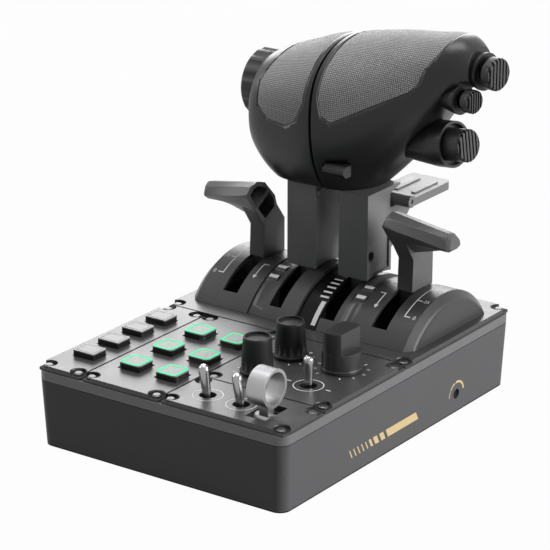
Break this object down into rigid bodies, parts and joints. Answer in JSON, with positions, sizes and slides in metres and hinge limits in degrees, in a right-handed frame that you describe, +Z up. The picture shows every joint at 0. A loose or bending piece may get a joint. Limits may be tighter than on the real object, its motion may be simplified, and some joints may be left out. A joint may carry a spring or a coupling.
{
  "type": "throttle quadrant",
  "caption": "Flight simulator throttle quadrant: box base with button, toggle and knob panels, arched lever covers, side levers and hinged throttle grips with hats and a dial",
  "frame": {"origin": "centre of the housing's underside, at the centre of the four mounting holes", "axes": "+X to the user's right, +Y away from the user towards the levers, +Z up"},
  "size_m": [0.2118, 0.265, 0.2506],
  "materials": {
    "housing_plastic": "moulded, fine texture",
    "frame_metal": "satin black",
    "panel_metal": "satin black",
    "screw_steel": "black oxide",
    "rubber": "soft",
    "board_green": "solder mask",
    "switch_black": "moulded",
    "button_black": "moulded",
    "button_green": "backlit rim",
    "chrome": "polished",
    "ring_metal": "bead blasted",
    "knob_plastic": "moulded",
    "cover_metal": "satin black",
    "strip_gloss": "polished",
    "shaft_steel": "ground",
    "bracket_metal": "milled",
    "lever_metal": "satin black",
    "arm_metal": "satin grey",
    "grip_plastic": "soft touch",
    "grip_rubber": "dotted",
    "hat_plastic": "moulded"
  },
  "bodies": {
    "base": {"lower_housing": "housing_plastic", "deck_frame": "frame_metal", "left_button_panel": "panel_metal", "centre_button_panel": "panel_metal", "toggle_panel": "panel_metal", "knob_panel": "panel_metal", "quadrant_plate": "panel_metal", "panel_screws": "screw_steel", "rubber_feet": "rubber", "circuit_board": "board_green", "switch_bodies": "switch_black", "right_outer_cover": "cover_metal", "left_outer_cover": "cover_metal", "right_inner_cover": "cover_metal", "left_inner_cover": "cover_metal", "centre_rib": "cover_metal", "index_strip": "strip_gloss", "right_end_cap": "cover_metal", "left_end_cap": "cover_metal", "pivot_shaft": "shaft_steel", "shaft_brackets": "bracket_metal"},
    "left_throttle": {"left_throttle_arm": "arm_metal", "left_grip_shell": "grip_plastic", "left_grip_rubber": "grip_rubber"},
    "right_throttle": {"right_throttle_arm": "arm_metal", "right_grip_shell": "grip_plastic", "right_grip_rubber": "grip_rubber", "hat_housing": "grip_plastic", "brake_pod": "grip_plastic"},
    "left_lever": {"left_aux_lever": "lever_metal"},
    "right_lever": {"right_aux_lever": "lever_metal"},
    "left_lift": {"left_finger_lift": "arm_metal"},
    "right_lift": {"right_finger_lift": "arm_metal"},
    "black_button_1_body": {"black_button_1": "button_black"},
    "black_button_2_body": {"black_button_2": "button_black"},
    "black_button_3_body": {"black_button_3": "button_black"},
    "black_button_4_body": {"black_button_4": "button_black"},
    "green_button_1_body": {"green_button_1": "button_green"},
    "green_button_2_body": {"green_button_2": "button_green"},
    "green_button_3_body": {"green_button_3": "button_green"},
    "green_button_4_body": {"green_button_4": "button_green"},
    "green_button_5_body": {"green_button_5": "button_green"},
    "green_button_6_body": {"green_button_6": "button_green"},
    "toggle_1": {"toggle_switch_1": "chrome"},
    "toggle_2": {"toggle_switch_2": "chrome"},
    "toggle_3": {"toggle_switch_3": "chrome"},
    "ring": {"ring_lever": "ring_metal"},
    "knob_1": {"rotary_knob_1": "knob_plastic"},
    "knob_2": {"rotary_knob_2": "knob_plastic"},
    "selector": {"selector_knob": "knob_plastic"},
    "dial": {"dial_wheel": "hat_plastic"},
    "top_gimbal": {"top_hat_gimbal": "hat_plastic"},
    "top_hat": {"top_hat_cap": "hat_plastic"},
    "low_gimbal": {"low_hat_gimbal": "hat_plastic"},
    "low_hat": {"low_hat_cap": "hat_plastic"},
    "brake": {"brake_switch": "hat_plastic"},
    "paddle": {"thumb_paddle": "grip_plastic"},
    "friction": {"friction_screw": "screw_steel"}
  },
  "joints": [
    {"name": "left_throttle_swing", "type": "hinge", "parent": "base", "child": "left_throttle", "pos_m": [-0.0202, 0.067, 0.02], "axis": [1, 0, 0], "range_deg": [-30, 30]},
    {"name": "left_lever_swing", "type": "hinge", "parent": "base", "child": "left_lever", "pos_m": [-0.0589, 0.067, 0.02], "axis": [1, 0, 0], "range_deg": [-30, 30]},
    {"name": "left_lift_hinge", "type": "hinge", "parent": "left_throttle", "child": "left_lift", "pos_m": [-0.029, 0.085, 0.13], "axis": [1, 0, 0], "range_deg": [0, 15], "stiffness_Nm_per_rad": 0.05},
    {"name": "right_throttle_swing", "type": "hinge", "parent": "base", "child": "right_throttle", "pos_m": [0.0202, 0.067, 0.02], "axis": [1, 0, 0], "range_deg": [-30, 30]},
    {"name": "right_lever_swing", "type": "hinge", "parent": "base", "child": "right_lever", "pos_m": [0.0589, 0.067, 0.02], "axis": [1, 0, 0], "range_deg": [-30, 30]},
    {"name": "right_lift_hinge", "type": "hinge", "parent": "right_throttle", "child": "right_lift", "pos_m": [0.029, 0.085, 0.13], "axis": [1, 0, 0], "range_deg": [0, 15], "stiffness_Nm_per_rad": 0.05},
    {"name": "black_button_1_press", "type": "slide", "parent": "base", "child": "black_button_1_body", "axis": [0, 0, -1], "range_m": [0, 0.002], "stiffness_N_per_m": 300, "springref_m": -0.0005},
    {"name": "black_button_2_press", "type": "slide", "parent": "base", "child": "black_button_2_body", "axis": [0, 0, -1], "range_m": [0, 0.002], "stiffness_N_per_m": 300, "springref_m": -0.0005},
    {"name": "black_button_3_press", "type": "slide", "parent": "base", "child": "black_button_3_body", "axis": [0, 0, -1], "range_m": [0, 0.002], "stiffness_N_per_m": 300, "springref_m": -0.0005},
    {"name": "black_button_4_press", "type": "slide", "parent": "base", "child": "black_button_4_body", "axis": [0, 0, -1], "range_m": [0, 0.002], "stiffness_N_per_m": 300, "springref_m": -0.0005},
    {"name": "green_button_1_press", "type": "slide", "parent": "base", "child": "green_button_1_body", "axis": [0, 0, -1], "range_m": [0, 0.002], "stiffness_N_per_m": 300, "springref_m": -0.0005},
    {"name": "green_button_2_press", "type": "slide", "parent": "base", "child": "green_button_2_body", "axis": [0, 0, -1], "range_m": [0, 0.002], "stiffness_N_per_m": 300, "springref_m": -0.0005},
    {"name": "green_button_3_press", "type": "slide", "parent": "base", "child": "green_button_3_body", "axis": [0, 0, -1], "range_m": [0, 0.002], "stiffness_N_per_m": 300, "springref_m": -0.0005},
    {"name": "green_button_4_press", "type": "slide", "parent": "base", "child": "green_button_4_body", "axis": [0, 0, -1], "range_m": [0, 0.002], "stiffness_N_per_m": 300, "springref_m": -0.0005},
    {"name": "green_button_5_press", "type": "slide", "parent": "base", "child": "green_button_5_body", "axis": [0, 0, -1], "range_m": [0, 0.002], "stiffness_N_per_m": 300, "springref_m": -0.0005},
    {"name": "green_button_6_press", "type": "slide", "parent": "base", "child": "green_button_6_body", "axis": [0, 0, -1], "range_m": [0, 0.002], "stiffness_N_per_m": 300, "springref_m": -0.0005},
    {"name": "toggle_1_throw", "type": "hinge", "parent": "base", "child": "toggle_1", "pos_m": [0.0234, -0.1096, 0.0487], "axis": [0, 1, 0], "range_deg": [0, 15]},
    {"name": "toggle_2_throw", "type": "hinge", "parent": "base", "child": "toggle_2", "pos_m": [0.0486, -0.1096, 0.0487], "axis": [0, 1, 0], "range_deg": [0, 15]},
    {"name": "toggle_3_throw", "type": "hinge", "parent": "base", "child": "toggle_3", "pos_m": [0.0646, -0.0614, 0.0487], "axis": [0, 1, 0], "range_deg": [-12, 12]},
    {"name": "ring_lever_rock", "type": "hinge", "parent": "base", "child": "ring", "pos_m": [0.068, -0.1105, 0.0487], "axis": [1, 0, 0], "range_deg": [-20, 20]},
    {"name": "knob_1_turn", "type": "hinge", "parent": "base", "child": "knob_1", "pos_m": [0.0265, -0.0622, 0.0547], "axis": [0, 0, 1], "range_deg": [-150, 150]},
    {"name": "knob_2_turn", "type": "hinge", "parent": "base", "child": "knob_2", "pos_m": [0.0278, -0.0279, 0.0547], "axis": [0, 0, 1], "range_deg": [-150, 150]},
    {"name": "selector_turn", "type": "hinge", "parent": "base", "child": "selector", "pos_m": [0.0661, -0.0272, 0.0547], "axis": [0, 0, 1], "range_deg": [-60, 60]},
    {"name": "dial_turn", "type": "hinge", "parent": "left_throttle", "child": "dial", "pos_m": [-0.0573, 0.076, 0.195], "axis": [-1, 0, 0], "range_deg": [-135, 135]},
    {"name": "top_hat_yaw", "type": "hinge", "parent": "right_throttle", "child": "top_gimbal", "pos_m": [0.10722, 0.07713, 0.2286], "axis": [0, 0, 1], "range_deg": [-7, 7], "stiffness_Nm_per_rad": 0.03},
    {"name": "top_hat_pitch", "type": "hinge", "parent": "top_gimbal", "child": "top_hat", "pos_m": [0.10722, 0.07713, 0.2286], "axis": [0.1736, 0.9848, 0], "range_deg": [-7, 7], "stiffness_Nm_per_rad": 0.03},
    {"name": "low_hat_yaw", "type": "hinge", "parent": "right_throttle", "child": "low_gimbal", "pos_m": [0.09652, 0.06713, 0.2114], "axis": [0, 0, 1], "range_deg": [-7, 7], "stiffness_Nm_per_rad": 0.03},
    {"name": "low_hat_pitch", "type": "hinge", "parent": "low_gimbal", "child": "low_hat", "pos_m": [0.09652, 0.06713, 0.2114], "axis": [0.1736, 0.9848, 0], "range_deg": [-7, 7], "stiffness_Nm_per_rad": 0.03},
    {"name": "brake_switch_slide", "type": "slide", "parent": "right_throttle", "child": "brake", "axis": [0.1736, 0.9848, 0], "range_m": [-0.0025, 0.0025]},
    {"name": "thumb_paddle_rock", "type": "hinge", "parent": "right_throttle", "child": "paddle", "pos_m": [0.017, 0.043, 0.1584], "axis": [1, 0, 0], "range_deg": [-3, 3], "stiffness_Nm_per_rad": 0.05},
    {"name": "friction_screw_turn", "type": "hinge", "parent": "base", "child": "friction", "pos_m": [0.092, 0.066, 0.013], "axis": [1, 0, 0], "range_deg": [-90, 90]}
  ]
}
